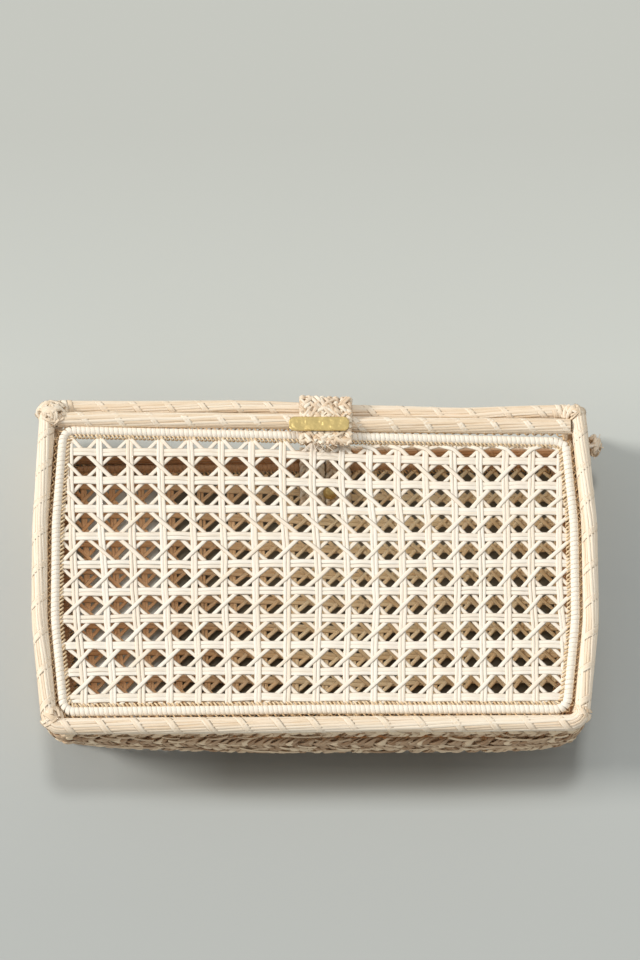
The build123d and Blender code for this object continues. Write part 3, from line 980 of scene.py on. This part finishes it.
def paper():
    """Pale paper, with painted shade under the bag, a painted shadow just beneath it, a painted pool of
    light under the bag's left side, and a painted falloff of light along its length.
    """
    material, tree, shader = new_material("pale paper")
    spot = add(tree, "ShaderNodeSeparateXYZ", add(tree, "ShaderNodeTexCoord").outputs["Object"]).outputs
    across, up = spot["X"], spot["Y"]
    # Painted falloff of light: the paper's tone changes along its length, darkest nearest the camera
    tone = add(tree, "ShaderNodeValToRGB", ramp(tree, up, -0.16, 0.26))
    tone.color_ramp.elements[0].color = (0.464, 0.474, 0.449, 1)
    tone.color_ramp.elements[1].color = (0.519, 0.524, 0.482, 1)
    for place, colour in ((0.4, (0.489, 0.505, 0.485, 1)), (0.67, (0.571, 0.583, 0.541, 1))):
        tone.color_ramp.elements.new(place).color = colour
    under = product(
        tree,
        ramp(tree, up, CENTRE.y - 0.071, CENTRE.y - 0.065),
        ramp(tree, up, CENTRE.y + 0.066, CENTRE.y + 0.072, 1.0, 0.0),
    )
    # Painted pool of light under the bag's left side
    pale = product(
        tree, ramp(tree, across, -0.126, -0.120), ramp(tree, across, 0.06, 0.07, 1.0, 0.0), under
    )
    # Painted shade under the bag
    painted_shade_under_bag = product(
        tree, ramp(tree, across, -0.090, -0.076), ramp(tree, across, 0.125, 0.132, 1.0, 0.0), under
    )
    # Painted shadow just beneath the bag's foot
    painted_shadow_beneath_bag = product(
        tree,
        ramp(tree, across, -0.105, -0.045),
        ramp(tree, across, 0.06, 0.15, 1.0, 0.0),
        ramp(tree, up, CENTRE.y - 0.110, CENTRE.y - 0.090, 0.0, 0.62),
        ramp(tree, up, CENTRE.y - 0.02, CENTRE.y, 1.0, 0.0),
    )
    colour = tone.outputs[0]
    # The painted light and the painted shade laid over the paper's tone
    for share, patch in (
        (pale, (1.0, 1.0, 0.96, 1)),
        (painted_shade_under_bag, (0.30, 0.265, 0.20, 1)),
        (painted_shadow_beneath_bag, (0.13, 0.11, 0.075, 1)),
    ):
        colour = blend(tree, share, colour, patch)
    tree.links.new(colour, shader.inputs["Base Color"])
    shader.inputs["Roughness"].default_value = 0.9
    shader.inputs["Specular IOR Level"].default_value = 0.1
    return material


scene = bpy.context.scene
FLOOR_REACH = 3
corners = [(x * FLOOR_REACH, y * FLOOR_REACH, 0) for x, y in ((-1, -1), (1, -1), (1, 1), (-1, 1))]
floor_mesh = bpy.data.meshes.new("floor")
floor_mesh.from_pydata(corners, [], [(0, 1, 2, 3)])
floor_mesh.materials.append(paper())
floor = bpy.data.objects.new("floor", floor_mesh)
scene.collection.objects.link(floor)

# The sky is brighter to the camera than it is as a light
SKY_SEEN = 0.9
SKY_LIGHT = 0.43
world = bpy.data.worlds.new("studio")
scene.world = world
world.use_nodes = True
tree = world.node_tree
backdrop = tree.nodes["Background"]
backdrop.inputs["Color"].default_value = (0.97, 0.99, 1.0, 1)
rays = add(tree, "ShaderNodeLightPath").outputs
seen = calc(tree, "MAXIMUM", rays["Is Camera Ray"], rays["Is Glossy Ray"])
tree.links.new(ramp(tree, seen, 0.0, 1.0, SKY_LIGHT, SKY_SEEN), backdrop.inputs["Strength"])

# The fill comes from where the camera stands, so that it lights what shows through the cane
for name, strength, spread, towards, colour in (
    ("key", 2.36, 14, (-1.6, 0.25, 1.0), (1.0, 0.985, 0.96)),
    ("fill", 0.95, 9, (0.02, 0.335, 1.0), (0.97, 0.99, 1.0)),
):
    sun = bpy.data.lights.new(name, "SUN")
    sun.energy = strength
    sun.angle = math.radians(spread)
    sun.color = colour
    lamp = bpy.data.objects.new(name, sun)
    lamp.rotation_euler = Vector(towards).to_track_quat("Z", "Y").to_euler()
    lamp.visible_glossy = name == "key"
    scene.collection.objects.link(lamp)

# The camera looks down on the front panel, whose middle lies at one pixel of the picture
PICTURE = (640, 960)
CENTRE_PIXEL = (316.0, 571.0)
DISTANCE = 1.3
MM_PER_PIXEL = 0.495
LOOK_DOWN = math.radians(74.5)
SENSOR = 36
FOCAL_PIXELS = DISTANCE / MM / MM_PER_PIXEL
tilt = LOOK_DOWN - math.atan((CENTRE_PIXEL[1] - PICTURE[1] / 2) / FOCAL_PIXELS)
camera_data = bpy.data.cameras.new("camera")
camera_data.lens = FOCAL_PIXELS * SENSOR / PICTURE[1]
camera_data.sensor_width = SENSOR
camera_data.clip_end = 20
camera = bpy.data.objects.new("camera", camera_data)
panel_centre = CENTRE + Vector((0, 0, FRONT_Z * MM))
camera.location = panel_centre + Vector((0, -math.cos(LOOK_DOWN), math.sin(LOOK_DOWN))) * DISTANCE
camera.location.x += (PICTURE[0] / 2 - CENTRE_PIXEL[0]) * MM_PER_PIXEL * MM
camera.rotation_euler = (math.pi / 2 - tilt, 0, 0)
scene.collection.objects.link(camera)
scene.camera = camera
scene.view_settings.view_transform = "Standard"
